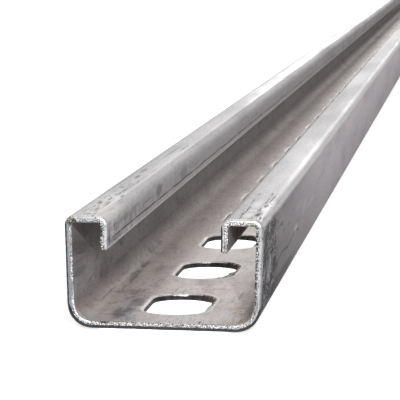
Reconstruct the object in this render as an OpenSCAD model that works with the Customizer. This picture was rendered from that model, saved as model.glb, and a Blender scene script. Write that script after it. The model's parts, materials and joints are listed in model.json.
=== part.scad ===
// Slotted strut channel: one length of roll-formed C section with inturned lips
// and a row of oblong bolt slots punched through its back.
//
// The back lies on Z = 0, the open side faces +Z and the length runs along Y.
// The origin is in the middle of the length, in the middle of the width, on the
// back's outer face. All sizes are in millimetres.

/* [Section] */
// Overall width across the two side walls
section_w = 41; // [36:0.5:60]
// Overall height from the back to the top of the lips
section_h = 23.5; // [20:0.5:62]
// Thickness of the steel strip
sheet_t = 1.5; // [1:0.1:2]
// Clear opening between the two lips
mouth_w = 23.4; // [18:0.1:24]
// Depth of each lip, measured down from the top
lip_d = 7.1; // [5:0.1:9]

/* [Bends] */
// Outside radius of the two bends between back and walls
back_bend_r = 5.6; // [3:0.1:8]
// Outside radius of the four bends at the top of the walls and lips
lip_bend_r = 2.1; // [1.6:0.1:3]

/* [Length] */
// Length of the bar
bar_l = 2000; // [200:50:3000]

/* [Slots] */
// Width of each slot, across the bar
slot_w = 13.5; // [9:0.5:15]
// Length of each slot, end to end along the bar
slot_l = 27; // [20:0.5:34]
// Distance from the centre of one slot to the centre of the next
slot_pitch = 50; // [40:1:100]
// Distance from the cut end of the bar to the centre of its first slot
slot_first = 25; // [20:1:100]

/* [Hidden] */
$fn = 48;
half_w = section_w / 2;
slot_n = floor((bar_l - 2 * slot_first) / slot_pitch + 0.001) + 1;
lip_w = half_w - mouth_w / 2;   // flange width, wall to lip, outside to outside
eps = 0.01;                     // overlap that fuses neighbouring strips

// A quarter of a ring: the section of one 90 degree bend. Its centre is at the
// origin and it fills the quadrant that starts at angle a.
module bend(r_out, a) {
    rotate(a) difference() {
        intersection() {
            circle(r = r_out);
            square(r_out + 1);
        }
        circle(r = r_out - sheet_t);
    }
}

// A flat stretch of strip from (x0, y0) to (x1, y1)
module strip(x0, y0, x1, y1) {
    translate([min(x0, x1), min(y0, y1)]) square([abs(x1 - x0), abs(y1 - y0)]);
}

// Right-hand half of the section: half the back, a wall, a flange and a lip
module half_section() {
    wall_x = half_w - sheet_t;
    flange_z = section_h - sheet_t;
    lip_x = mouth_w / 2;
    // back
    strip(-eps, 0, half_w - back_bend_r + eps, sheet_t);
    // bend from the back up to the wall
    translate([half_w - back_bend_r, back_bend_r]) bend(back_bend_r, -90);
    // wall
    strip(wall_x, back_bend_r - eps, half_w, section_h - lip_bend_r + eps);
    // bend from the wall in to the flange
    translate([half_w - lip_bend_r, section_h - lip_bend_r]) bend(lip_bend_r, 0);
    // flange
    strip(lip_x + lip_bend_r - eps, flange_z, half_w - lip_bend_r + eps, section_h);
    // bend from the flange down to the lip
    translate([lip_x + lip_bend_r, section_h - lip_bend_r]) bend(lip_bend_r, 90);
    // lip
    strip(lip_x, section_h - lip_d, lip_x + sheet_t, section_h - lip_bend_r + eps);
}

// The whole section, drawn with X across and Y up
module section() {
    half_section();
    mirror([1, 0]) half_section();
}

// One slot with round ends, cut straight through the back
module slot() {
    run = (slot_l - slot_w) / 2;
    translate([0, 0, -1]) linear_extrude(height = sheet_t + 2) union() {
        translate([0, run]) circle(d = slot_w);
        translate([0, -run]) circle(d = slot_w);
        square([slot_w, 2 * run], center = true);
    }
}

module strut_channel() {
    color([0.66, 0.66, 0.67]) difference() {
        translate([0, bar_l / 2, 0]) rotate([90, 0, 0])
            linear_extrude(height = bar_l) section();
        for (i = [0 : slot_n - 1])
            translate([0, -bar_l / 2 + slot_first + i * slot_pitch, 0]) slot();
    }
}

strut_channel();
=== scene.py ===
import json
import math
import bpy
import numpy as np
from mathutils import Matrix, Vector, noise


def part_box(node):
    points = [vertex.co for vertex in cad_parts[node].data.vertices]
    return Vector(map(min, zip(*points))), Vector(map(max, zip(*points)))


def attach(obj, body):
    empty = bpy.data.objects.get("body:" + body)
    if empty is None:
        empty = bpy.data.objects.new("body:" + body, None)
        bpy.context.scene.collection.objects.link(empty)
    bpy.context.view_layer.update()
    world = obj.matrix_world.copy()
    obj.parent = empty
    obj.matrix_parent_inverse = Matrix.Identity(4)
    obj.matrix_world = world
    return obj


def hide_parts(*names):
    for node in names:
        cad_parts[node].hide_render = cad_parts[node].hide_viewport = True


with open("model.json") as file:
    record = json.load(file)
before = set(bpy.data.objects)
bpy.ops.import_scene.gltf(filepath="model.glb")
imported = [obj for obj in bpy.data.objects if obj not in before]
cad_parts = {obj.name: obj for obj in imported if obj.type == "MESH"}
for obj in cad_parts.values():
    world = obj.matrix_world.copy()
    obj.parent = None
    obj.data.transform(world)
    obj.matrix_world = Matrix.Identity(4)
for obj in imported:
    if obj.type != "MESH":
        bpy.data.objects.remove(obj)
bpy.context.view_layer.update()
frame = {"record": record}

NODE = "strut_channel"
BOX_LO, BOX_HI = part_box(NODE)
MM = 0.001

# ---------------------------------------------------------------- sizes, in mm
HALF_W = BOX_HI.x / MM              # half the width
HEIGHT = BOX_HI.z / MM
Y_NEAR, Y_FAR = BOX_LO.y / MM, BOX_HI.y / MM
T = 1.5                             # strip
MOUTH = 23.4
LIP = 7.1
R_BACK = 5.6                        # outside bend radii
R_LIP = 2.1
ROUND = 0.62                        # rounding of the outer edge of a cut end
FINE = 0.28                         # spacing of the points round a cut end
TIP_R = 0.36                        # how far the rounding of a lip's free edge reaches up
STRIP_X = 10.0                      # the back's middle strip, which holds the slots

_m = {m["name"]: m for m in frame["record"]["mounts"]}
_first = _m["slots_01_02"]
PITCH = _first["dims"]["spacing_y_mm"]
SLOT_R = _first["dims"]["hole_r_mm"]
SLOT_L = _first["dims"]["slot_length_mm"]
SLOT_Y0 = _first["pos_m"][1] / MM - PITCH / 2 - Y_NEAR   # first centre from the cut end
SLOTS = int(round((Y_FAR - Y_NEAR - 2 * SLOT_Y0) / PITCH)) + 1


# ------------------------------------------------------------------- section
def arc(cx, cz, r, a0, a1, n):
    """Points on a mid-line bend, ends left out, with the outward normal of each."""
    out = []
    for i in range(1, n):
        a = math.radians(a0 + (a1 - a0) * i / n)
        out.append((cx + r * math.cos(a), cz + r * math.sin(a), math.cos(a), math.sin(a)))
    return out


def run(x0, z0, x1, z1, nx, nz, n):
    """Points on a straight stretch of the mid-line, ends included."""
    return [(x0 + (x1 - x0) * i / n, z0 + (z1 - z0) * i / n, nx, nz) for i in range(n + 1)]


def half_path():
    """Right half of the mid-line, from the edge of the slot strip to the lip's free edge."""
    rb, rl, h = R_BACK - T / 2, R_LIP - T / 2, T / 2
    lx = MOUTH / 2
    p = run(STRIP_X, h, HALF_W - R_BACK, h, 0, -1, 2)
    p += arc(HALF_W - R_BACK, R_BACK, rb, -90, 0, 9)
    p += run(HALF_W - h, R_BACK, HALF_W - h, HEIGHT - R_LIP, 1, 0, 5)
    p += arc(HALF_W - R_LIP, HEIGHT - R_LIP, rl, 0, 90, 8)
    p += run(HALF_W - R_LIP, HEIGHT - h, lx + R_LIP, HEIGHT - h, 0, 1, 2)
    p += arc(lx + R_LIP, HEIGHT - R_LIP, rl, 90, 180, 8)
    p += run(lx + h, HEIGHT - R_LIP, lx + h, HEIGHT - LIP + TIP_R, -1, 0, 4)
    return p


RIGHT = half_path()
LEFT = [(-x, z, -nx, nz) for x, z, nx, nz in reversed(RIGHT)]


# ------------------------------------------------------- relief in the surface
def wander(a, b, c, seed):
    return noise.noise(Vector((a, b, c)) + Vector((seed * 7.31, seed * 3.17, seed * 1.93)))


def relief(x, y, z, nx, nz):
    """Very low waves that roll forming leaves, in mm along the normal."""
    d = 0.035 * wander(x * 0.10, y * 0.021, z * 0.10, 1)
    d += 0.014 * wander(x * 0.34, y * 0.09, z * 0.34, 2)
    return d


# how far the side walls stand off the true section, at heights in mm: the bends are a little slack
# at the back, and the left wall leans out towards the top
LEAN_L = ((0.0, 0.0), (2.0, 0.10), (4.5, 0.34), (6.5, 0.30), (22.0, -0.29), (24.0, -0.29))
LEAN_R = ((0.0, 0.0), (2.0, -0.12), (5.0, -0.34), (9.0, -0.22), (18.0, 0.0), (24.0, 0.0))


def lean(x, z):
    table = LEAN_L if x < 0 else LEAN_R
    w = min(1.0, max(0.0, (abs(x) - 13.5) / 5.5))
    w = w * w * (3 - 2 * w)
    for (z0, v0), (z1, v1) in zip(table, table[1:]):
        if z <= z1:
            return w * (v0 + (v1 - v0) * max(0.0, z - z0) / (z1 - z0))
    return w * table[-1][1]


class Builder:
    def __init__(self):
        self.v, self.f, self.m, self.at = [], [], [], {}

    def add(self, key, co):
        co = (co[0] + lean(co[0] / MM, co[2] / MM) * MM, co[1], co[2])
        if key is None:
            self.v.append(co)
            return len(self.v) - 1
        if key not in self.at:
            self.at[key] = len(self.v)
            self.v.append(co)
        return self.at[key]

    def quad(self, a, b, c, d, mat):
        if len({a, b, c, d}) == 4:
            self.f.append((a, b, c, d))
            self.m.append(mat)
        elif len({a, b, c, d}) == 3:
            s = []
            for i in (a, b, c, d):
                if i not in s:
                    s.append(i)
            self.f.append(tuple(s))
            self.m.append(mat)


B = Builder()
OUTER, INNER, CUT, SHEAR, RIM = 0, 1, 2, 3, 4


# ---------------------------------------------------------------- slot outline
FINE_CELLS = 3                           # the first slots are divided more finely
COARSE_SPEC = (12, 12, 2, 3)             # points on the near end, on the far end, on each side's end, along the straight


def spec(ci):
    if ci < FINE_CELLS:
        return (24, 24, 4, 8)
    if ci == FINE_CELLS:
        return (24, 12, 3, 5)
    return COARSE_SPEC


def slot_loop(grow, sp=COARSE_SPEC):
    """Obround about the origin, grown by `grow` mm, counter-clockwise from the right side's near tangent point."""
    near, far, side, straight = sp
    nf, nn = 2 * side + far, 2 * side + near
    r, h = SLOT_R + grow, SLOT_L / 2 - SLOT_R
    pts = [(r, -h + 2 * h * i / straight) for i in range(straight)]
    pts += [(r * math.cos(math.pi * i / nf), h + r * math.sin(math.pi * i / nf)) for i in range(nf)]
    pts += [(-r, h - 2 * h * i / straight) for i in range(straight)]
    pts += [(-r * math.cos(math.pi * i / nn), -h - r * math.sin(math.pi * i / nn)) for i in range(nn)]
    return pts


def cell_loop(y_lo, y_hi, sp=COARSE_SPEC):
    """The rectangle round a slot, with one point for each point of the slot's loop."""
    near, far, side, straight = sp
    h = SLOT_L / 2 - SLOT_R
    X = STRIP_X
    pts = [(X, -h + 2 * h * i / straight) for i in range(straight)]
    pts += [(X, h + (y_hi - h) * i / side) for i in range(side)]
    pts += [(X - 2 * X * i / far, y_hi) for i in range(far)]
    pts += [(-X, y_hi - (y_hi - h) * i / side) for i in range(side)]
    pts += [(-X, h - 2 * h * i / straight) for i in range(straight)]
    pts += [(-X, -h + (y_lo + h) * i / side) for i in range(side)]
    pts += [(-X + 2 * X * i / near, y_lo) for i in range(near)]
    pts += [(X, y_lo - (y_lo + h) * i / side) for i in range(side)]
    return pts


END_D = 1.0                              # the finely divided band at each cut end
CELLS = []
total = Y_FAR - Y_NEAR
for i in range(SLOTS):
    c = SLOT_Y0 + i * PITCH
    lo = END_D if i == 0 else c - PITCH / 2
    hi = total - END_D if i == SLOTS - 1 else c + PITCH / 2
    CELLS.append((c, lo - c, hi - c))

ROWS = []
for ci, (c, lo, hi) in enumerate(CELLS):
    side = [p[1] for p in cell_loop(lo, hi, spec(ci)) if abs(p[0] - STRIP_X) < 1e-9] + [lo, hi]
    ROWS += [c + y for y in side]
ROWS = sorted({round(y, 4): y for y in ROWS}.values())


def shift_out(px, pz, nx, nz, y, skin):
    """The relief at a point, in mm along the outward normal, kept inside the overall size."""
    d = relief(px, y, pz, nx, nz)
    if skin > 0:
        d = min(d, 0.0)
    return d


def place(skin, x, z, nx, nz, y):
    off = skin * T / 2
    px, pz = x + nx * off, z + nz * off
    d = shift_out(px, pz, nx, nz, y, skin)
    return ((px + nx * d) * MM, (Y_NEAR + y) * MM, (pz + nz * d) * MM)


def strip_key(skin, x, y):
    return ("strip", skin, round(x, 4), round(y, 4))


def point(side, i, skin, row):
    path = RIGHT if side == "R" else LEFT
    x, z, nx, nz = path[i]
    y = ROWS[row]
    border = (side == "R" and i == 0) or (side == "L" and i == len(LEFT) - 1)
    key = strip_key(skin, x, y) if border else (side, i, skin, row)
    return B.add(key, place(skin, x, z, nx, nz, y))


def strip_point(skin, x, y):
    return B.add(strip_key(skin, x, y), place(skin, x, T / 2, 0, -1, y))


# the free edge of a lip, from its outer face round to its inner face: (share of the thickness from outside, drop)
TIP = [(0.0, 0.0), (0.05, 0.16), (0.16, 0.28), (0.34, 0.35), (0.62, 0.36), (0.84, 0.31), (0.96, 0.18), (1.0, 0.0)]


def tip_point(side, k, y):
    """Point k of the lip's free edge at distance y from the near end, without the two ends."""
    path = RIGHT if side == "R" else LEFT
    x, z, nx, nz = path[-1] if side == "R" else path[0]
    s, drop = TIP[k]
    wob = 0.05 * wander(y * 0.05, 0, 0, 8 if side == "R" else 9) + 0.03 * wander(y * 0.4, k * 0.3, 0, 10)
    return x + nx * (0.5 - s) * T, z - drop - abs(wob) * (drop > 0.1)


def lip_edge(side):
    path = RIGHT if side == "R" else LEFT
    i = len(RIGHT) - 1 if side == "R" else 0
    prev = None
    for r, y in enumerate(ROWS):
        col = [point(side, i, +1, r)]
        for k in range(1, len(TIP) - 1):
            px, pz = tip_point(side, k, y)
            col.append(B.add(("lipe", side, r, k), (px * MM, (Y_NEAR + y) * MM, pz * MM)))
        col.append(point(side, i, -1, r))
        if prev:
            for k in range(len(col) - 1):
                B.quad(prev[k], col[k], col[k + 1], prev[k + 1], RIM)
        prev = col


def sides():
    for side in "LR":
        path = RIGHT if side == "R" else LEFT
        for r in range(len(ROWS) - 1):
            for i in range(len(path) - 1):
                a, b = point(side, i, +1, r), point(side, i + 1, +1, r)
                c, d = point(side, i + 1, +1, r + 1), point(side, i, +1, r + 1)
                B.quad(a, b, c, d, OUTER)
                a, b = point(side, i, -1, r), point(side, i + 1, -1, r)
                c, d = point(side, i + 1, -1, r + 1), point(side, i, -1, r + 1)
                B.quad(d, c, b, a, INNER)


# ------------------------------------------------------------------- cut ends
def whole_path(n_strip):
    """The mid-line from the left lip's free edge round to the right one's, with the place of each coarse point in it."""
    xs = [-STRIP_X + 2 * STRIP_X * i / n_strip for i in range(1, n_strip)]
    coarse = list(LEFT) + [(x, T / 2, 0, -1) for x in xs] + list(RIGHT)
    fine, at = [], []
    for a, b in zip(coarse, coarse[1:]):
        at.append(len(fine))
        n = max(1, int(round(math.hypot(b[0] - a[0], b[1] - a[1]) / FINE)))
        for k in range(n):
            t = k / n
            nx, nz = a[2] + (b[2] - a[2]) * t, a[3] + (b[3] - a[3]) * t
            ln = math.hypot(nx, nz)
            fine.append((a[0] + (b[0] - a[0]) * t, a[1] + (b[1] - a[1]) * t, nx / ln, nz / ln))
    at.append(len(fine))
    fine.append(coarse[-1])
    return coarse, fine, at


def end_profile():
    """From the outer skin, over the rounded edge, across the cut and round its inner edge: (depth from the end, off the mid-line)."""
    p = [(END_D, T / 2), (0.80, T / 2), (ROUND, T / 2)]
    for i in range(1, 6):
        a = math.radians(90 - 18 * i)
        p.append((ROUND * (1 - math.cos(a)), T / 2 - ROUND * (1 - math.sin(a))))
    lo = -T / 2 + 0.16
    for i in range(1, 5):
        p.append((0.0, (T / 2 - ROUND) + (lo - (T / 2 - ROUND)) * i / 5))
    for i in range(0, 4):
        a = math.radians(30 * i)
        p.append((0.16 * (1 - math.cos(a)), lo - 0.16 * math.sin(a)))
    p.append((0.45, -T / 2))
    p.append((END_D, -T / 2))
    return p


END_P = end_profile()


def dent(x, z, seed):
    """Nicks along the outer edge of a cut end: how much deeper the rounding bites, 0 to about 1."""
    a = wander(x * 0.55, 0, z * 0.55, seed)
    b = wander(x * 1.9, 0, z * 1.9, seed + 1)
    return max(0.0, a + 0.5 * b - 0.12)


def cut_end(end):
    near = end == 0
    row = 0 if near else len(ROWS) - 1
    coarse, fine, at = whole_path(spec(0)[0] if near else spec(SLOTS - 1)[1])
    where = {j: i for i, j in enumerate(at)}
    cols = []
    n = len(fine)
    for j, (x, z, nx, nz) in enumerate(fine):
        col = []
        ci = where.get(j)
        for k, (d, off) in enumerate(END_P):
            first, last = k == 0, k == len(END_P) - 1
            px, pz = x + nx * off, z + nz * off
            y = d if near else total - d
            if first or last:
                skin = 1 if first else -1
                if ci is None:
                    col.append(None)
                elif ci < len(LEFT):
                    col.append(point("L", ci, skin, row))
                elif ci >= len(coarse) - len(RIGHT):
                    col.append(point("R", ci - (len(coarse) - len(RIGHT)), skin, row))
                else:
                    col.append(strip_point(skin, coarse[ci][0], ROWS[row]))
                continue
            skinlike = d > ROUND - 0.02 or off <= -T / 2 + 1e-6
            bite = dent(px, pz, 31 + end * 4)
            if 0.03 < d <= ROUND + 1e-6 and off > 0:
                px, pz = px - nx * 0.10 * bite, pz - nz * 0.10 * bite
            if d < 0.30:
                y += (1 if near else -1) * (0.09 * bite * (1 - d / 0.30))
                grit = 0.045 * wander(px * 2.6, k * 0.9, pz * 2.6, 41 + end) + 0.03 * wander(px * 6.1, k * 1.7, pz * 6.1, 43 + end)
                y += (1 if near else -1) * max(0.0, 0.03 + grit) * (1 - d / 0.30)
            if skinlike:
                g = shift_out(px, pz, nx, nz, y, 1 if off > 0 else -1)
                px, pz = px + nx * g, pz + nz * g
            y = min(max(y, 0.0), total)
            pz = min(max(pz, 0.0), HEIGHT)
            px = min(max(px, -HALF_W), HALF_W)
            col.append(B.add(("end", end, j, k), (px * MM, (Y_NEAR + y) * MM, pz * MM)))
        cols.append(col)
    for j in range(n - 1):
        for k in range(len(END_P) - 1):
            if (k == 0 or k == len(END_P) - 2):
                continue                                 # joined to the coarse rows below
            d0, d1 = END_P[k][0], END_P[k + 1][0]
            mat = CUT
            if END_P[k][1] > 0 and max(d0, d1) > 0.03:
                mat = OUTER if min(d0, d1) > ROUND - 1e-6 else RIM
            elif END_P[k][1] < 0 and max(d0, d1) > 0.2:
                mat = INNER
            B.quad(cols[j][k], cols[j][k + 1], cols[j + 1][k + 1], cols[j + 1][k], mat)
    # one face for each coarse step takes in all the fine points on its other edge
    last = len(END_P) - 1
    for c0, c1 in zip(at, at[1:]):
        for k_far, k_near, mat in ((0, 1, OUTER), (last, last - 1, INNER)):
            face = [cols[c0][k_far], cols[c1][k_far]] + [cols[j][k_near] for j in range(c1, c0 - 1, -1)]
            B.f.append(tuple(face))
            B.m.append(mat)
    # the two lip tips close the band from the free edge
    for side, j in (("L", 0), ("R", n - 1)):
        col = cols[j]
        x, z, nx, nz = fine[j]
        ring0 = [B.at[("lipe", side, row, k)] for k in range(1, len(TIP) - 1)]
        prev = [cols[j][0], *ring0, cols[j][last]]

        def ring(d, shrink, ka, kb):
            ids = [cols[j][ka]]
            for k in range(1, len(TIP) - 1):
                px, pz = tip_point(side, k, d if near else total - d)
                px, pz = px + (x - px) * shrink, pz + (z - pz) * shrink
                ids.append(B.add(("tipr", end, side, round(d, 3), k), (px * MM, (Y_NEAR + (d if near else total - d)) * MM, pz * MM)))
            ids.append(cols[j][kb])
            return ids
        r1 = ring(0.45, 0.0, 2, last - 1)
        # from the coarse row to the ring: outer face's points 0,1,2 and inner's last,last-1
        B.f.append(tuple([prev[0], cols[j][1], r1[0], r1[1], prev[1]])); B.m.append(RIM)
        for k in range(1, len(prev) - 2):
            B.quad(prev[k], prev[k + 1], r1[k + 1], r1[k], RIM)
        B.quad(prev[-2], prev[-1], r1[-1], r1[-2], RIM)
        r2 = ring(0.14, 0.18, 5, last - 3)
        B.f.append(tuple([r1[0], cols[j][3], cols[j][4], r2[0], r2[1], r1[1]])); B.m.append(RIM)
        for k in range(1, len(r1) - 2):
            B.quad(r1[k], r1[k + 1], r2[k + 1], r2[k], RIM)
        B.f.append(tuple([r1[-2], r1[-1], cols[j][last - 2], r2[-1], r2[-2]])); B.m.append(CUT)
        # the cut face of the tip: between ring 2 and the column's middle points
        mids = [cols[j][k] for k in range(5, last - 2)]
        face = list(r2) + mids[::-1][1:-1]
        B.f.append(tuple(face)); B.m.append(CUT)


# --------------------------------------------------------------------- slots
# rings from the strip in to the slot's wall: (distance outside the wall, share of the roll-over's depth)
TOP_RINGS = [(2.2, 0.0), (1.15, 0.0), (0.80, 0.05), (0.50, 0.20), (0.26, 0.46), (0.09, 0.78), (0.0, 1.05)]
LOW_RINGS = [(1.6, 0.0), (0.40, 0.0), (0.14, 0.05), (0.0, 0.12)]
ROLL = 0.34                              # depth of the roll-over, in mm


def around(x, y):
    """Where a point of a slot's outline lies: 0 right, 90 far, 180 left, 270 near, in degrees."""
    return math.degrees(math.atan2(y, x)) % 360


def near_to(a, mid, width):
    d = abs((a - mid + 180) % 360 - 180)
    return max(0.0, 1 - d / width)


def slot_edge(ci, a):
    """How deep the roll-over is, how torn the edge is and how far a burr stands, at angle a of slot ci."""
    roll = 0.85 + 0.35 * wander(math.cos(math.radians(a)) * 1.1, math.sin(math.radians(a)) * 1.1, ci * 1.7, 51)
    torn, burr = 0.0, 0.0
    jitter = 14 * wander(ci * 2.3, 0, 0, 52) if ci > 2 else 0.0
    # torn along the far right and down the right side, as the punch left it
    torn += 1.0 * near_to(a, 62 + jitter, 38) + 0.8 * near_to(a, 335 + jitter, 40) + 0.35 * near_to(a, 10, 30)
    roll *= 1 - 0.55 * min(1.0, torn)
    # a bright turned edge along the far left
    burr += near_to(a, 104 + jitter * 0.6, 20 if ci != 1 else 14)
    return roll, min(1.0, torn), burr


def tongue(ci, a, at):
    """Metal left standing into the opening at its near right corner, where the punch tore rather than cut."""
    big, long = {0: (0.75, 0.0), 1: (2.3, 2.3)}.get(ci, (0.0, 0.0))
    if not big:
        return 0.0
    return (big * near_to(a, 322, 30) + long * near_to(a, 292, 26)) * (0.75 + 0.7 * wander(at[0] * 1.6, at[1] * 1.6, ci, 61))


def slots():
    for ci, (c, lo, hi) in enumerate(CELLS):
        sp = spec(ci)
        outer = cell_loop(lo, hi, sp)
        chains = []
        base = slot_loop(0, sp)
        n = len(base)
        angle = [around(x, y) for x, y in base]
        for skin, rings in ((-1, TOP_RINGS), (1, LOW_RINGS)):
            loops = [[strip_point(skin, x, c + y) for x, y in outer]]
            for k, (grow, share) in enumerate(rings):
                ids = []
                for j, (x, y) in enumerate(slot_loop(grow, sp)):
                    roll, torn, burr = slot_edge(ci, angle[j])
                    deep = share * ROLL * roll if skin < 0 else share
                    rag = -tongue(ci, angle[j], base[j]) * max(0.0, 1 - grow / 0.9)
                    if grow < 0.6:
                        w = (0.6 - grow) / 0.6
                        u, v = base[j]
                        rag += w * (0.05 * wander(u * 0.8, v * 0.8, ci * 3.1 + k * 0.2, 21) + torn * 0.30 * wander(u * 1.7, v * 1.7, ci * 3.1 + k * 0.6, 22))
                        deep += torn * w * 0.14 * abs(wander(u * 1.9, v * 1.9, ci * 1.3 + k * 0.8, 24)) if skin < 0 else 0.0
                        if skin < 0 and burr > 0 and 0.05 < grow < 0.3:
                            deep -= 0.10 * burr
                    d = math.hypot(x, y) or 1
                    x2, y2 = x * (1 + rag / d), y * (1 + rag / d)
                    off = skin * (T / 2 - deep)
                    dz = shift_out(x2, T / 2 - off, 0, -1, c + y2, skin) if share == 0.0 else 0.0
                    pz = max(T / 2 - off - dz, 0.0)
                    ids.append(B.add(("slot", ci, skin, k, j), (x2 * MM, (Y_NEAR + c + y2) * MM, pz * MM)))
                loops.append(ids)
            for q_i, (la, lb) in enumerate(zip(loops, loops[1:])):
                for j in range(n):
                    j2 = (j + 1) % n
                    q = (la[j], la[j2], lb[j2], lb[j])
                    mat = INNER if skin < 0 else OUTER
                    if skin < 0 and q_i >= 4:
                        _, torn, burr = slot_edge(ci, angle[j])
                        if burr > 0.25:
                            mat = RIM
                        if ci == 1 and q_i == 5 and tongue(ci, angle[j], base[j]) > 0.3:
                            mat = SHEAR
                    B.quad(*(q if skin < 0 else q[::-1]), mat)
            chains.append(loops[-1])
        # the slot's wall: a smooth sheared band above and a torn band below, which opens out a little
        upper, lower = chains
        mids = []
        for w, t_ in enumerate((0.30, 0.62)):
            ids = []
            for j in range(n):
                a, b = Vector(B.v[upper[j]]), Vector(B.v[lower[j]])
                p = a.lerp(b, t_)
                torn = slot_edge(ci, angle[j])[1]
                g = (0.02 + 0.06 * w + 0.08 * torn) * wander(base[j][0] * 1.5, base[j][1] * 1.5, ci * 2.3 + w * 4.0, 23)
                d = math.hypot(p.x, p.y - (Y_NEAR + c) * MM) or 1
                q = Vector((p.x * (1 + g * MM / d), p.y + (p.y - (Y_NEAR + c) * MM) * (g * MM / d), p.z))
                ids.append(B.add(("wall", ci, w, j), tuple(q)))
            mids.append(ids)
        for la, lb in zip([upper, *mids], [*mids, lower]):
            for j in range(n):
                j2 = (j + 1) % n
                B.quad(la[j], la[j2], lb[j2], lb[j], SHEAR)


sides()
lip_edge("L")
lip_edge("R")
cut_end(0)
cut_end(1)
slots()

mesh = bpy.data.meshes.new("channel_steel")
mesh.from_pydata(B.v, [], B.f)
mesh.validate(verbose=False)
channel = bpy.data.objects.new("channel_steel", mesh)
bpy.context.scene.collection.objects.link(channel)
for p, m in zip(mesh.polygons, B.m):
    p.use_smooth = True
    p.material_index = m
mesh.update()

import bmesh
_bm = bmesh.new()
_bm.from_mesh(mesh)
bmesh.ops.recalc_face_normals(_bm, faces=_bm.faces)
OPEN_EDGES = sum(1 for e in _bm.edges if not e.is_manifold)
_bm.to_mesh(mesh)
_bm.free()
mesh.set_sharp_from_angle(angle=math.radians(38))
TRIS = sum(len(p.vertices) - 2 for p in mesh.polygons)
print("MESH tris", TRIS, "non-manifold edges", OPEN_EDGES, "slots", SLOTS)


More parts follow.
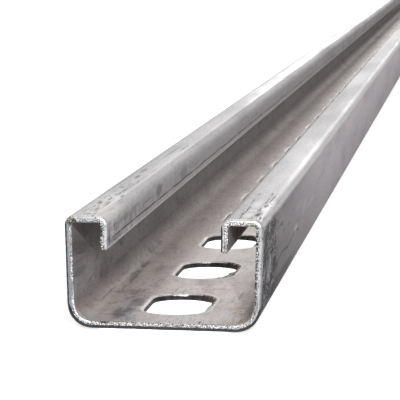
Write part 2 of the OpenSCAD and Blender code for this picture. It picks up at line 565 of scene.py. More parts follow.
# ------------------------------------------------------------------ materials
class Nodes:
    """A little help for writing node trees. Coordinates are in mm, with Y counted from the near end."""
    def __init__(self, name):
        self.m = bpy.data.materials.new(name)
        self.m.use_nodes = True
        self.t = self.m.node_tree
        self.t.nodes.clear()
        obj = self.t.nodes.new("ShaderNodeTexCoord").outputs["Object"]
        self.co = self.vec("MULTIPLY_ADD", obj, (1000, 1000, 1000), (0, -Y_NEAR, 0))
        sep = self.t.nodes.new("ShaderNodeSeparateXYZ")
        self.t.links.new(self.co, sep.inputs[0])
        self.X, self.Y, self.Z = sep.outputs
        self.aX = self.math("ABSOLUTE", self.X)
        # distance from the nearer cut end
        self.E = self.math("MINIMUM", self.Y, self.math("SUBTRACT", total, self.Y))
        # coordinates shaken a little, so that no mark has a drawn outline
        n = self.raw_noise(2.2, 3.0, 0.6, (1, 0.45, 1), (11, 5, 3)).outputs[1]
        shake = self.vec("MULTIPLY", self.vec("SUBTRACT", n, (0.5, 0.5, 0.5)), (0.9, 4.0, 0.9))
        self.wco = self.vec("ADD", self.co, shake)

    def put(self, sock, v):
        if isinstance(v, bpy.types.NodeSocket):
            self.t.links.new(v, sock)
        else:
            sock.default_value = v

    def vec(self, op, a, b=(0, 0, 0), c=None):
        n = self.t.nodes.new("ShaderNodeVectorMath")
        n.operation = op
        self.put(n.inputs[0], a)
        self.put(n.inputs[1], b)
        if c is not None:
            self.put(n.inputs[2], c)
        return n.outputs["Value"] if op == "LENGTH" else n.outputs["Vector"]

    def math(self, op, a, b=0.0, c=None, clamp=False):
        n = self.t.nodes.new("ShaderNodeMath")
        n.operation, n.use_clamp = op, clamp
        self.put(n.inputs[0], a)
        self.put(n.inputs[1], b)
        if c is not None:
            self.put(n.inputs[2], c)
        return n.outputs[0]

    def raw_noise(self, size, detail, rough, stretch, shift, distort=0.0):
        v = self.vec("MULTIPLY_ADD", self.co, tuple(s / size for s in stretch), shift)
        n = self.t.nodes.new("ShaderNodeTexNoise")
        self.t.links.new(v, n.inputs["Vector"])
        n.inputs["Scale"].default_value = 1.0
        n.inputs["Detail"].default_value = detail
        n.inputs["Roughness"].default_value = rough
        n.inputs["Distortion"].default_value = distort
        return n

    def noise(self, size, detail=3.0, rough=0.55, stretch=(1, 1, 1), shift=(0, 0, 0), distort=0.0):
        """Noise whose features are about `size` mm across."""
        return self.raw_noise(size, detail, rough, stretch, shift, distort).outputs[0]

    def span(self, v, lo, hi, a=0.0, b=1.0, smooth=True):
        n = self.t.nodes.new("ShaderNodeMapRange")
        n.interpolation_type = "SMOOTHSTEP" if smooth else "LINEAR"
        n.clamp = True
        if isinstance(lo, (int, float)) and lo > hi:
            lo, hi, a, b = hi, lo, b, a
        self.put(n.inputs["Value"], v)
        for k, x in zip(("From Min", "From Max", "To Min", "To Max"), (lo, hi, a, b)):
            self.put(n.inputs[k], x)
        return n.outputs["Result"]

    def band(self, v, lo, hi, soft):
        """1 between lo and hi, fading over soft on each side."""
        return self.mul(self.span(v, lo - soft, lo + soft), self.span(v, hi + soft, hi - soft))

    def tone(self, v):
        """A grey whose strength is the value v."""
        n = self.t.nodes.new("ShaderNodeCombineColor")
        for q in n.inputs:
            self.put(q, v)
        return n.outputs[0]

    def hypot(self, a, b):
        return self.math("SQRT", self.math("ADD", self.math("MULTIPLY", a, a), self.math("MULTIPLY", b, b)))

    def sheet_depth(self):
        """How far a point of the cut face lies under the outer outline, 0 to T."""
        rise = self.span(self.Z, 0.0, 4.5, 0.0, 1.0, False)
        left = self.mul(self.span(self.X, -13.5, -19.0), rise, self.span(self.Z, 6.0, 22.0, -0.32, 0.29, False))
        right = self.mul(self.span(self.X, 13.5, 19.0), rise, self.span(self.Z, 5.0, 18.0, -0.34, 0.0, False))
        width = self.math("SUBTRACT", self.aX, self.math("ADD", left, right))
        q = self.hypot(self.math("MAXIMUM", self.math("SUBTRACT", width, HALF_W - R_BACK), 0.0),
                       self.math("MAXIMUM", self.math("SUBTRACT", R_BACK, self.Z), 0.0))
        low = self.math("SUBTRACT", R_BACK, q)
        mid, half = (HALF_W + MOUTH / 2) / 2, (HALF_W - MOUTH / 2) / 2
        a = self.math("ABSOLUTE", self.math("SUBTRACT", width, mid))
        q = self.hypot(self.math("MAXIMUM", self.math("SUBTRACT", a, half - R_LIP), 0.0),
                       self.math("MAXIMUM", self.math("SUBTRACT", self.Z, HEIGHT - R_LIP), 0.0))
        high = self.math("SUBTRACT", R_LIP, q)
        up = self.span(self.Z, 11.0, 11.4)
        return self.math("ADD", self.math("MULTIPLY", low, self.no(up)), self.math("MULTIPLY", high, up))

    def slot_gap(self):
        """How far a point of the back lies outside the nearest slot."""
        y = self.math("ABSOLUTE", self.math("SUBTRACT", self.math("WRAP", self.Y, PITCH, 0.0), PITCH / 2))
        y = self.math("MAXIMUM", self.math("SUBTRACT", y, SLOT_L / 2 - SLOT_R), 0.0)
        return self.math("SUBTRACT", self.hypot(self.X, y), SLOT_R)

    def mul(self, *vs):
        out = vs[0]
        for v in vs[1:]:
            out = self.math("MULTIPLY", out, v)
        return out

    def most(self, *vs):
        out = vs[0]
        for v in vs[1:]:
            out = self.math("MAXIMUM", out, v)
        return out

    def no(self, v):
        return self.math("SUBTRACT", 1.0, v)

    def blob(self, at, r, amount=1.0, soft=0.45, plain=False):
        """A soft-edged mark. A radius of 0 leaves that direction out."""
        inv = tuple(1 / q if q else 0.0 for q in r)
        v = self.vec("MULTIPLY", self.vec("SUBTRACT", self.co if plain else self.wco, at), inv)
        return self.span(self.vec("LENGTH", v), 1 + soft, 1 - soft, 0.0, amount)

    def marks(self, *rows):
        return self.most(*[self.blob(*r) for r in rows])

    def mix(self, fac, a, b, mode="MIX"):
        n = self.t.nodes.new("ShaderNodeMix")
        n.data_type, n.blend_type = "RGBA", mode
        n.clamp_factor = True
        self.put(n.inputs[0], fac)
        self.put(n.inputs[6], a)
        self.put(n.inputs[7], b)
        return n.outputs[2]

    def finish(self, colour, rough, metallic, height=None, depth_mm=0.02, strength=0.6):
        s = self.t.nodes.new("ShaderNodeBsdfPrincipled")
        self.put(s.inputs["Metallic"], metallic)
        s.inputs["Specular IOR Level"].default_value = 0.12
        self.put(s.inputs["Base Color"], colour)
        self.put(s.inputs["Roughness"], rough)
        if height is not None:
            n = self.t.nodes.new("ShaderNodeBump")
            n.inputs["Strength"].default_value = strength
            n.inputs["Distance"].default_value = depth_mm * MM
            self.put(n.inputs["Height"], height)
            self.put(s.inputs["Normal"], n.outputs[0])
        o = self.t.nodes.new("ShaderNodeOutputMaterial")
        self.t.links.new(s.outputs[0], o.inputs["Surface"])
        return self.m


def rgb(r, g, b):
    return (r, g, b, 1.0)


def grey(v, warm=0.0):
    """A grey of strength v; warm tints it towards brown, a negative value towards blue."""
    return rgb(v * (1 + 0.5 * warm), v * (1 - 0.15 * warm), v * (1 - 0.6 * warm))


# how light each outer and inner face is; the sides' and the pockets' tones are painted shade
TOP_C, LIP_C, SIDE_SHADE_C, SIDE_SHADE_FAR, UNDER_C = 0.80, 0.78, 0.174, 0.370, 0.18
FLOOR_C, WALL_C, POCKET_SHADE_C = 0.76, 0.48, 0.20
METAL = 0.50


def outer_skin():
    k = Nodes("zinc_outer")
    top = k.span(k.Z, 20.8, 22.6)
    side = k.mul(k.span(k.aX, 18.2, 20.1), k.no(top))
    under = k.span(k.Z, 3.4, 0.6)

    grain = k.noise(0.30, 2.0, 0.65)
    coarse = k.noise(0.60, 4.0, 0.72, stretch=(1, 0.22, 1), shift=(6, 1, 3))
    mid = k.noise(1.3, 3.0, 0.6, shift=(4, 1, 7))
    cloud = k.noise(11, 4.0, 0.62, stretch=(1, 0.14, 1), distort=0.4)
    drag = k.noise(0.50, 3.0, 0.6, stretch=(1, 0.018, 1), shift=(2, 9, 1))      # long fine lines from the rolls
    cross = k.noise(1.5, 5.0, 0.70, stretch=(0.4, 0.8, 0.42), shift=(7, 3, 5))    # patches on the lips
    dash = k.noise(0.34, 2.0, 0.55, stretch=(1, 0.055, 1), shift=(5, 2, 8))

    # the sides: dull, and painted shade: dark near the cut ends and towards the bottom, lighter along the bar and up
    # towards the bend
    side_shade_tone = k.mul(k.span(k.E, 30, 220, SIDE_SHADE_C, SIDE_SHADE_FAR), k.span(k.Z, 3, 19, 0.72, 1.15, False))
    col = k.mix(top, rgb(LIP_C * 1.02, LIP_C * 0.985, LIP_C * 1.01), rgb(TOP_C * 1.015, TOP_C * 0.99, TOP_C * 1.0))
    col = k.mix(side, col, k.mix(1.0, rgb(1.045, 0.965, 1.01), k.tone(side_shade_tone), "MULTIPLY"))
    col = k.mix(under, col, grey(UNDER_C, 0.04))
    col = k.mix(k.mul(k.span(k.aX, 14.0, 12.3), k.no(top), k.span(k.E, 30, 80), 0.45), col, rgb(0.97, 0.945, 0.97))
    # large soft patches, fine grain and roll lines
    calm = k.no(k.mul(top, k.span(k.X, 8, 12), k.span(k.E, 35, 60), 0.7))
    col = k.mix(k.mul(k.span(cloud, 0.44, 0.66, 0.0, 0.20), calm), col, rgb(0.13, 0.12, 0.13))
    col = k.mix(k.mul(k.span(drag, 0.54, 0.74, 0.0, 0.28), calm), col, rgb(0.08, 0.075, 0.08))
    col = k.mix(k.mul(k.span(mid, 0.58, 0.74), 0.14, k.no(side)), col, rgb(0.80, 0.78, 0.77))
    col = k.mix(k.span(coarse, 0.46, 0.64, 0.0, 0.22), col, rgb(0.10, 0.095, 0.10))
    col = k.mix(k.span(grain, 0.40, 0.68, 0.0, 0.16), col, rgb(0.10, 0.095, 0.10))

    fold = k.mul(k.band(k.X, -13.9, -11.6, 0.35), k.span(k.Z, 20.4, 21.4))          # the bend over the left lip
    flange_r = k.mul(top, k.span(k.X, 12.8, 13.8), k.span(k.X, 19.6, 18.6))
    col = k.mix(k.mul(top, k.span(k.X, -13.4, -14.4), k.span(k.Y, 30, 55, 0.95, 0.12)), col, rgb(0.97, 0.955, 0.96))
    col = k.mix(k.mul(fold, 0.35), col, rgb(0.40, 0.39, 0.40))
    worn = k.mul(top, k.span(k.X, 8, 12), k.span(k.X, 20.0, 18.8), k.span(k.E, 110, 25, 0.14, 0.24))
    col = k.mix(worn, col, rgb(0.22, 0.215, 0.22))
    # dashes and scuffs on the flange tops, thick near the ends and thinner along the bar
    lanes = k.most(k.mul(k.band(k.X, -17.9, -14.8, 0.5), k.span(k.E, 90, 20, 0.18, 1.0)),
                   k.mul(k.band(k.X, 17.5, 19.9, 0.5), k.span(k.E, 55, 12, 0.03, 1.0)),
                   k.mul(k.band(k.X, 14.7, 16.0, 0.35), k.span(k.E, 55, 20, 0.03, 0.8)))
    scuff = k.mul(k.span(dash, 0.56, 0.64), lanes, 0.70)
    left = k.marks(
        ((-15.15, 57, 23.5), (0.13, 19, 0), 0.85), ((-15.75, 10.5, 23.5), (0.26, 3.6, 0), 1.0),
        ((-15.1, 8.0, 23.5), (0.12, 4.0, 0), 0.7), ((-15.2, 21, 23.5), (0.15, 4.6, 0), 0.95), ((-15.7, 22, 23.5), (0.12, 4.0, 0), 0.8),
        ((-16.0, 29.5, 23.5), (0.20, 3.2, 0), 1.0), ((-16.95, 22, 23.5), (0.30, 2.8, 0), 1.0),
        ((-17.6, 23.5, 23.5), (0.16, 2.4, 0), 0.95), ((-14.3, 35, 23.5), (0.20, 2.4, 0), 0.85),
        ((-15.7, 37.5, 23.5), (0.35, 2.6, 0), 0.6), ((-15.6, 46.5, 23.5), (0.28, 4.2, 0), 0.75),
        ((-15.7, 41, 23.5), (0.22, 2.6, 0), 0.7), ((-12.9, 24, 23.5), (0.15, 3.6, 0), 0.6), ((-13.5, 26.5, 23.5), (0.15, 2.8, 0), 0.5),
        ((-16.9, 75, 23.5), (0.30, 3.8, 0), 0.8), ((-17.5, 89, 23.5), (0.55, 5.5, 0), 0.45),
        ((-15.0, 89, 23.5), (0.20, 4.5, 0), 0.5), ((-17.8, 7, 23.5), (0.22, 2.6, 0), 0.7), ((-17.7, 33, 23.5), (0.2, 3.0, 0), 0.4),
        ((-15.6, 2.8, 23.5), (1.7, 0.55, 0), 0.85), ((-17.0, 137, 23.5), (0.5, 16, 0), 0.35), ((-17.5, 44, 23.5), (0.25, 3.0, 0), 0.35),
        ((-15.2, 148, 23.5), (0.25, 10, 0), 0.45), ((-13.0, 13, 23.5), (0.16, 3.4, 0), 0.5), ((-16.0, 58, 23.5), (0.3, 4.0, 0), 0.4),
        ((-15.0, 17, 23.5), (0.10, 5.0, 0), 0.8), ((-18.9, 60, 23.2), (0.22, 80, 0), 0.40))
    right = k.marks(
        ((18.55, 8.3, 23.5), (0.65, 3.4, 0), 1.0), ((19.4, 4.6, 23.5), (0.22, 2.8, 0), 0.9), ((18.7, 13.5, 23.5), (0.25, 1.8, 0), 0.6),
        ((17.9, 17.0, 23.5), (0.22, 2.8, 0), 0.85), ((18.7, 23.5, 23.5), (0.36, 2.6, 0), 0.95),
        ((18.95, 36, 23.5), (0.14, 8.5, 0), 0.85), ((18.2, 32, 23.5), (0.20, 6.0, 0), 0.75),
        ((18.0, 45.5, 23.5), (0.28, 2.2, 0), 0.75), ((15.35, 6.5, 23.5), (0.15, 5.8, 0), 0.9),
        ((15.6, 17, 23.5), (0.18, 5.0, 0), 0.85), ((15.2, 29, 23.5), (0.15, 5.5, 0), 0.7), ((15.0, 10.5, 23.5), (0.15, 2.0, 0), 0.6),
        ((15.25, 44, 23.5), (0.18, 2.6, 0), 0.75), ((15.3, 21.5, 23.5), (0.16, 2.4, 0), 0.6), ((14.9, 34, 23.5), (0.12, 2.4, 0), 0.45),
        ((15.2, 70, 23.5), (0.14, 2.6, 0), 0.4), ((14.2, 22, 23.5), (0.14, 3.5, 0), 0.35), ((17.3, 2.5, 23.5), (0.9, 0.7, 0), 0.6))
    dark_top = k.mul(k.most(k.mul(left, k.span(k.Y, 12, 30, 0.72, 1.0)), right, scuff), top)
    pale = k.mul(k.marks(
        ((16.7, 6.5, 23.5), (0.9, 4.6, 0), 0.60), ((16.7, 27, 23.5), (0.9, 7.0, 0), 0.40),
        ((18.7, 18.0, 23.5), (0.35, 1.6, 0), 0.7), ((16.6, 15.3, 23.5), (1.5, 0.7, 0), 0.7), ((-16.4, 65, 23.5), (0.8, 5.0, 0), 0.40), ((-15.6, 10, 23.5), (4.5, 16.0, 0), 0.45),
        ((-15.5, 8.5, 23.5), (0.14, 1.5, 0), 0.9), ((-17.3, 25.8, 23.5), (0.9, 0.7, 0), 0.7),
        ((-15.6, 96, 23.5), (0.16, 12, 0), 0.5), ((-14.2, 109, 23.5), (0.35, 3.4, 0), 0.4),
        ((-17.9, 13, 23.5), (0.2, 1.8, 0), 0.6), ((-14.8, 3.5, 23.5), (0.4, 1.6, 0), 0.3)), top)
    col = k.mix(pale, col, rgb(0.92, 0.88, 0.85))
    dark_top = k.mul(dark_top, k.span(grain, 0.30, 0.55, 0.65, 1.0), k.span(dash, 0.38, 0.52, 0.50, 1.0))
    col = k.mix(dark_top, col, rgb(0.030, 0.027, 0.030))

    # the lips: a drag line, streaks across them near the ends, smudges
    lips = k.mul(k.span(k.aX, 14.0, 12.3), k.no(top))
    line_z = k.math("ADD", 18.30, k.mul(k.math("SUBTRACT", k.noise(26, 1.0, 0.5, stretch=(0, 1, 0)), 0.5), 0.7))
    line = k.span(k.math("ABSOLUTE", k.math("SUBTRACT", k.Z, line_z)), 0.28, 0.08)
    line = k.mul(line, k.span(k.Y, 3, 7), k.span(k.noise(17, 2.0, 0.6, stretch=(0, 1, 0)), 0.36, 0.50, 0.45, 1.0), k.span(k.Y, 700, 60, 0.35, 1.0))
    bumpy = k.span(k.X, 0, -1)                                                    # the left lip is the more worn
    only_left = k.span(k.X, 0, -1, 0.25, 1.0)
    streaks = k.mul(only_left, k.most(k.span(cross, 0.48, 0.62), k.mul(k.span(coarse, 0.50, 0.62), 0.6)), k.span(k.E, 60, 8, 0.14, 0.68))
    glints = k.mul(lips, only_left, k.most(k.span(cross, 0.46, 0.36), k.mul(k.span(coarse, 0.44, 0.34), 0.7)), k.span(k.E, 80, 10, 0.10, 0.45))
    smudge_and_shadow = k.marks(((-11.7, 75, 20.5), (0, 4.8, 1.8), 0.50), ((-11.7, 120, 20.0), (0, 6.5, 1.8), 0.34),
                     ((-11.7, 3.2, 22.0), (0, 1.8, 0.6), 0.8), ((-11.7, 2.0, 18.3), (0, 1.6, 0.9), 0.8),
                     ((-11.7, 57, 20.1), (0, 8.0, 0.14), 0.6), ((-11.7, 12, 20.2), (0, 3.5, 1.2), 0.35),
                     ((-11.7, 12, 17.6), (0, 7, 0.4), 0.6), ((-11.7, 24, 20.8), (0, 5, 0.8), 0.35), ((-11.7, 36, 21.0), (0, 5, 0.6), 0.25))
    col = k.mix(k.mul(lips, k.most(k.mul(line, bumpy), streaks, smudge_and_shadow)), col, rgb(0.060, 0.056, 0.064))
    col = k.mix(glints, col, rgb(0.95, 0.94, 0.95))
    low = k.mul(lips, k.span(k.Z, 18.0, 17.3), k.span(k.Y, 26, 60, 0.0, 0.5))
    col = k.mix(low, col, rgb(0.80, 0.77, 0.76))

    # painted highlight: a bright line along the lips' rounded lower edge
    lip_edge_highlight = k.mul(lips, k.span(k.Z, 17.0, 16.82), k.span(k.noise(9, 3.0, 0.6, stretch=(0, 1, 0), shift=(0, 7, 0)), 0.36, 0.52, 0.45, 1.0))
    col = k.mix(lip_edge_highlight, col, rgb(1.0, 0.99, 0.98))

    # the sides near the ends: handled and dirty, with upright smears, pale flecks and a wavy scratch
    near = k.mul(side, k.span(k.math("ADD", k.E, k.mul(mid, 22)), 54, 34))
    smears = k.noise(2.6, 4.0, 0.68, stretch=(1, 0.30, 0.8), shift=(4, 4, 1), distort=0.3)
    patchy = k.noise(0.75, 5.0, 0.76, stretch=(1, 0.20, 1), shift=(1, 8, 2))
    dirt = k.most(k.span(patchy, 0.47, 0.56), k.mul(k.span(smears, 0.45, 0.55), 0.92))
    col = k.mix(k.mul(near, dirt, 0.90), col, rgb(0.012, 0.010, 0.012))
    flecks = k.mul(near, k.span(k.noise(0.48, 4.0, 0.72, stretch=(1, 0.16, 1), shift=(3, 3, 9)), 0.54, 0.61))
    col = k.mix(k.mul(flecks, 0.42), col, rgb(0.44, 0.42, 0.41))
    scratch_z = k.math("ADD", 8.2, k.mul(k.noise(34, 1.0, 0.5, stretch=(0, 1, 0), shift=(0, 2.4, 0)), 3.6))
    scratch = k.mul(k.span(k.math("ABSOLUTE", k.math("SUBTRACT", k.Z, scratch_z)), 0.30, 0.06), k.band(k.Y, 34, 92, 4), side)
    wall_marks = k.marks(((20.5, 43, 17.2), (0, 3.2, 0.35), 0.9), ((20.5, 21, 14.3), (0, 5.0, 0.45), 1.0),
                         ((20.5, 50, 14.9), (0, 2.6, 0.3), 0.6), ((20.5, 62, 14.8), (0, 4.0, 0.3), 0.45), ((20.5, 48, 20.6), (0, 3.4, 0.25), 0.6),
                         ((20.5, 6, 17.0), (0, 3.4, 4.0), 0.8), ((20.5, 6.5, 8.7), (0, 3.0, 0.9), 0.9), ((20.5, 27.5, 10.3), (0, 4.0, 1.6), 0.75),
                         ((20.5, 45, 5.0), (0, 34, 1.5), 0.6), ((20.5, 33, 9.4), (0, 5.0, 0.5), 0.7), ((20.5, 20, 7.8), (0, 5.0, 0.8), 0.6))
    col = k.mix(k.mul(k.most(k.mul(scratch, 0.85), k.mul(wall_marks, side)), 0.9), col, rgb(0.016, 0.014, 0.016))
    shine = k.mul(k.marks(((20.5, 84, 11), (0, 4.5, 0.9), 0.6), ((20.5, 110, 13.4), (0, 7, 1.4), 0.35),
                          ((20.5, 16, 11.2), (0, 4.4, 2.4), 0.35), ((20.5, 23.5, 7.1), (0, 2.6, 0.4), 0.45), ((20.5, 132, 12), (0, 12, 1.0), 0.3),
                          ((20.5, 93, 15.5), (0, 10, 1.0), 0.2)), side)
    col = k.mix(shine, col, rgb(0.36, 0.355, 0.37))

    rough = k.span(cloud, 0.3, 0.7, 0.36, 0.50)
    rough = k.math("ADD", rough, k.mul(k.most(dark_top, side, k.mul(flange_r, 0.7)), 0.16))
    rough = k.math("ADD", rough, k.mul(fold, 0.22))
    rough = k.math("ADD", rough, k.mul(side, 0.18))
    h = k.math("ADD", k.mul(grain, 0.5), k.mul(drag, 0.8))
    h = k.math("SUBTRACT", h, k.mul(k.most(dark_top, k.mul(lips, line, bumpy)), 1.6))
    h = k.math("ADD", h, k.mul(mid, 0.5))
    metal = k.mul(METAL, k.no(k.most(side, dark_top, k.mul(fold, 0.9), k.mul(flange_r, 0.25))))
    return k.finish(col, rough, metal, h, 0.022, 0.7)


def inner_skin():
    k = Nodes("zinc_inner")
    wall = k.mul(k.span(k.aX, 15.2, 18.6), k.span(k.Z, 2.0, 6.0))
    pocket_shade = k.span(k.Z, 7.0, 15.5)
    behind = k.mul(k.span(k.aX, 14.8, 13.6), k.span(k.Z, 12, 14))               # the hidden side of the lips
    bend = k.mul(k.band(k.aX, 15.6, 19.2, 0.8), k.band(k.Z, 1.4, 5.8, 0.8))

    grain = k.noise(0.30, 2.0, 0.65, shift=(1, 2, 3))
    coarse = k.noise(0.60, 4.0, 0.74, stretch=(1, 0.22, 1), shift=(1, 9, 4))
    mid = k.noise(1.5, 4.0, 0.68, stretch=(1, 0.30, 1), shift=(3, 5, 1))
    stain = k.noise(5.0, 6.0, 0.76, stretch=(1, 0.34, 1), shift=(2, 1, 1), distort=0.25)
    wide = k.noise(24, 3.0, 0.6, stretch=(1, 0.45, 1), shift=(5, 2, 2), distort=0.5)
    fog = k.noise(3.0, 5.0, 0.72, stretch=(1, 0.30, 1), shift=(8, 1, 1), distort=0.4)
    drag = k.noise(0.7, 3.0, 0.6, stretch=(1, 0.02, 1), shift=(6, 9, 1))

    col = k.mix(wall, rgb(FLOOR_C * 1.075, FLOOR_C * 0.975, FLOOR_C * 0.945), rgb(WALL_C * 1.03, WALL_C * 0.98, WALL_C * 0.995))
    col = k.mix(k.mul(wall, k.span(k.X, 10, 12)), col, rgb(0.74, 0.70, 0.70))
    # painted shade in the pockets: the side walls darker from halfway up, under the flanges and lips
    col = k.mix(k.mul(pocket_shade, wall), col, rgb(POCKET_SHADE_C * 1.04, POCKET_SHADE_C * 0.965, POCKET_SHADE_C * 1.01))
    # painted key light and shadow on the left inner wall: lighter below the diagonal edge cast by the lip's end, darker
    # in the shadow above and past it
    painted_key_light = k.span(k.math("SUBTRACT", k.math("SUBTRACT", 21.9, k.mul(k.Y, 0.366)), k.Z), -0.05, 0.22)
    painted_key_light = k.mul(painted_key_light, wall, k.span(k.X, -10, -12), k.span(k.Z, 12.5, 14.0))
    col = k.mix(k.mul(painted_key_light, 0.34), col, rgb(0.62, 0.57, 0.54))
    col = k.mix(k.mul(wall, k.span(k.X, -10, -12), k.no(painted_key_light), k.span(k.Z, 12.0, 14.5), k.span(k.Y, 40, 24), 0.30), col, rgb(0.08, 0.075, 0.08))
    # painted shadow: a dark band across the left inner wall near the end, with a sharp lower edge
    smudge_and_shadow = k.marks(((-19, 4, 16.0), (0, 7, 1.9), 0.9), ((-19, 12, 14.9), (0, 7, 1.7), 0.95), ((-19, 19, 14.3), (0, 4, 1.2), 0.7))
    shadow_band_edge = k.math("SUBTRACT", k.Z, k.math("SUBTRACT", 14.9, k.mul(k.Y, 0.09)))
    col = k.mix(k.mul(smudge_and_shadow, k.span(shadow_band_edge, -0.18, 0.22), k.span(k.X, -10, -12), 0.72), col, rgb(0.075, 0.068, 0.072))
    col = k.mix(behind, col, rgb(0.50, 0.47, 0.475))
    col = k.mix(k.mul(bend, 0.30), col, rgb(0.26, 0.245, 0.245))
    col = k.mix(k.span(wide, 0.44, 0.66, 0.0, 0.16), col, rgb(0.22, 0.20, 0.20))
    col = k.mix(k.span(fog, 0.46, 0.68, 0.0, 0.20), col, rgb(0.13, 0.122, 0.128))
    col = k.mix(k.span(drag, 0.58, 0.74, 0.0, 0.16), col, rgb(0.09, 0.085, 0.09))
    col = k.mix(k.span(mid, 0.56, 0.72, 0.0, 0.28), col, rgb(0.84, 0.78, 0.72))
    col = k.mix(k.span(coarse, 0.46, 0.62, 0.0, 0.30), col, rgb(0.14, 0.13, 0.133))
    col = k.mix(k.span(grain, 0.42, 0.70, 0.0, 0.18), col, rgb(0.09, 0.085, 0.087))

    # cool dark stains along the left of the back, thickest near the end
    zone = k.mul(k.span(k.X, -3.5, -9.0), k.span(k.Y, 240, 40, 0.30, 1.0))
    patches = k.marks(
        ((-10.4, 12.5, 1.5), (2.0, 8.0, 0), 0.9), ((-9.4, 25, 1.5), (1.5, 6.0, 0), 0.75),
        ((-12.2, 38, 1.5), (1.4, 9, 0), 0.8), ((-8.4, 54, 1.5), (0.9, 8, 0), 0.6),
        ((-15.6, 62, 1.5), (0.75, 26, 0), 1.0), ((-11.5, 72, 1.5), (1.2, 9, 0), 0.5),
        ((-13.4, 104, 1.5), (1.8, 16, 0), 0.4), ((-7.6, 6.0, 1.5), (1.0, 4.0, 0), 0.4))
    dark = k.most(k.mul(zone, k.span(stain, 0.53, 0.67), 0.50), k.mul(patches, k.span(stain, 0.42, 0.55, 0.15, 1.0)))
    dark = k.mul(dark, k.no(pocket_shade))
    col = k.mix(k.mul(dark, 0.80), col, rgb(0.13, 0.13, 0.148))
    # wear and dirt on the side walls
    smear = k.marks(
        ((-19, 7, 10.7), (0, 7.0, 0.8), 0.75), ((-19, 4, 16.3), (0, 3.6, 0.8), 0.8), ((-19, 11.5, 15.0), (0, 5.5, 0.8), 0.8), ((-19, 38, 7.0), (0, 5.5, 3.0), 0.40),
        ((-19, 5, 6.0), (0, 3.0, 2.0), 0.30), ((-19, 60, 4.5), (0, 12, 1.5), 0.4), ((-19, 120, 6), (0, 16, 4), 0.3))
    smear = k.mul(k.most(smear, k.span(stain, 0.54, 0.68, 0.0, 0.40)), k.no(k.mul(pocket_shade, 0.5)), wall)
    col = k.mix(smear, col, rgb(0.14, 0.135, 0.145))
    dust = k.mul(wall, k.span(k.noise(0.75, 3.0, 0.7, shift=(9, 4, 2)), 0.54, 0.64), k.span(k.E, 60, 10, 0.2, 0.8))
    dust = k.mul(dust, k.most(k.blob((-19, 25, 9), (0, 9, 5), 1.0, 0.5), 0.45))
    col = k.mix(dust, col, rgb(0.62, 0.55, 0.48))
    # lighter, warmer metal left of the stains, polished patches beside the first slot and on the right, and painted
    # highlights on the inner bends at the near end
    pale = k.marks(((-14.3, 6, 1.7), (1.9, 7, 0), 0.50), ((-0.5, 102, 1.5), (6.5, 22, 0), 0.55), ((-16.8, 56, 2.3), (0.30, 18, 0), 0.35), ((-7.4, 9, 1.5), (1.0, 4.0, 0), 0.30), ((10.5, 60, 1.5), (2.6, 40, 0), 0.20), ((9.8, 9, 1.5), (3.5, 7, 0), 0.20),
                   ((-3, 50, 1.5), (3.5, 4.5, 0), 0.25), ((-10.8, 17, 1.5), (0.35, 3.0, 0), 0.4),
                   # painted highlights where the inner bends meet the near end
                   ((-17.2, 1.0, 3.0), (1.5, 0.9, 1.8), 0.8), ((15.9, 1.6, 2.4), (1.5, 1.1, 1.1), 0.9))
    col = k.mix(pale, col, rgb(0.84, 0.80, 0.78))
    warm = k.marks(((-14.6, 18, 1.5), (2.0, 18, 0), 0.80), ((-5.5, 25, 1.5), (1.5, 25, 0), 0.25), ((-14.0, 40, 1.8), (3.0, 60, 0), 0.42), ((0, 125, 1.5), (14, 22, 0), 0.35), ((-12.0, 47, 1.5), (1.8, 8, 0), 0.35), ((-15.2, 8, 2.0), (2.2, 6, 0), 0.5),
                   ((-13.2, 60, 1.5), (1.2, 12, 0), 0.35))
    col = k.mix(k.mul(warm, k.span(stain, 0.64, 0.42)), col, rgb(0.94, 0.84, 0.76))
    cool = k.mul(k.marks(((-3.0, 3.5, 1.5), (14.0, 8.0, 0), 0.55), ((-10.0, 14, 1.5), (4.0, 14.0, 0), 0.30)), k.span(stain, 0.38, 0.56, 0.45, 1.0))
    col = k.mix(cool, col, k.mix(1.0, col, rgb(0.93, 0.965, 1.03), "MULTIPLY"))
    # scratches past the first slot, scuffs across the right side, a small dark fleck
    thin = k.marks(((-1.1, 42, 1.5), (0.10, 3.8, 0), 0.7), ((-3.0, 43, 1.5), (0.10, 3.2, 0), 0.55),
                   ((7.2, 2.2, 1.5), (0.22, 1.5, 0), 0.95), ((12.2, 38, 1.5), (0.35, 6.0, 0), 0.30),
                   ((11.0, 33, 1.5), (0.25, 5.0, 0), 0.30), ((-12.5, 9.0, 1.5), (3.2, 0.5, 0), 0.30),
                   ((6.0, 46, 1.5), (4.0, 0.7, 0), 0.24), ((1.5, 52.5, 1.5), (5.0, 0.6, 0), 0.24),
                   ((-16.9, 34, 2.4), (0.16, 12, 0), 0.40), ((-15.0, 52, 1.5), (0.14, 12, 0), 0.35))
    col = k.mix(thin, col, rgb(0.045, 0.04, 0.045))
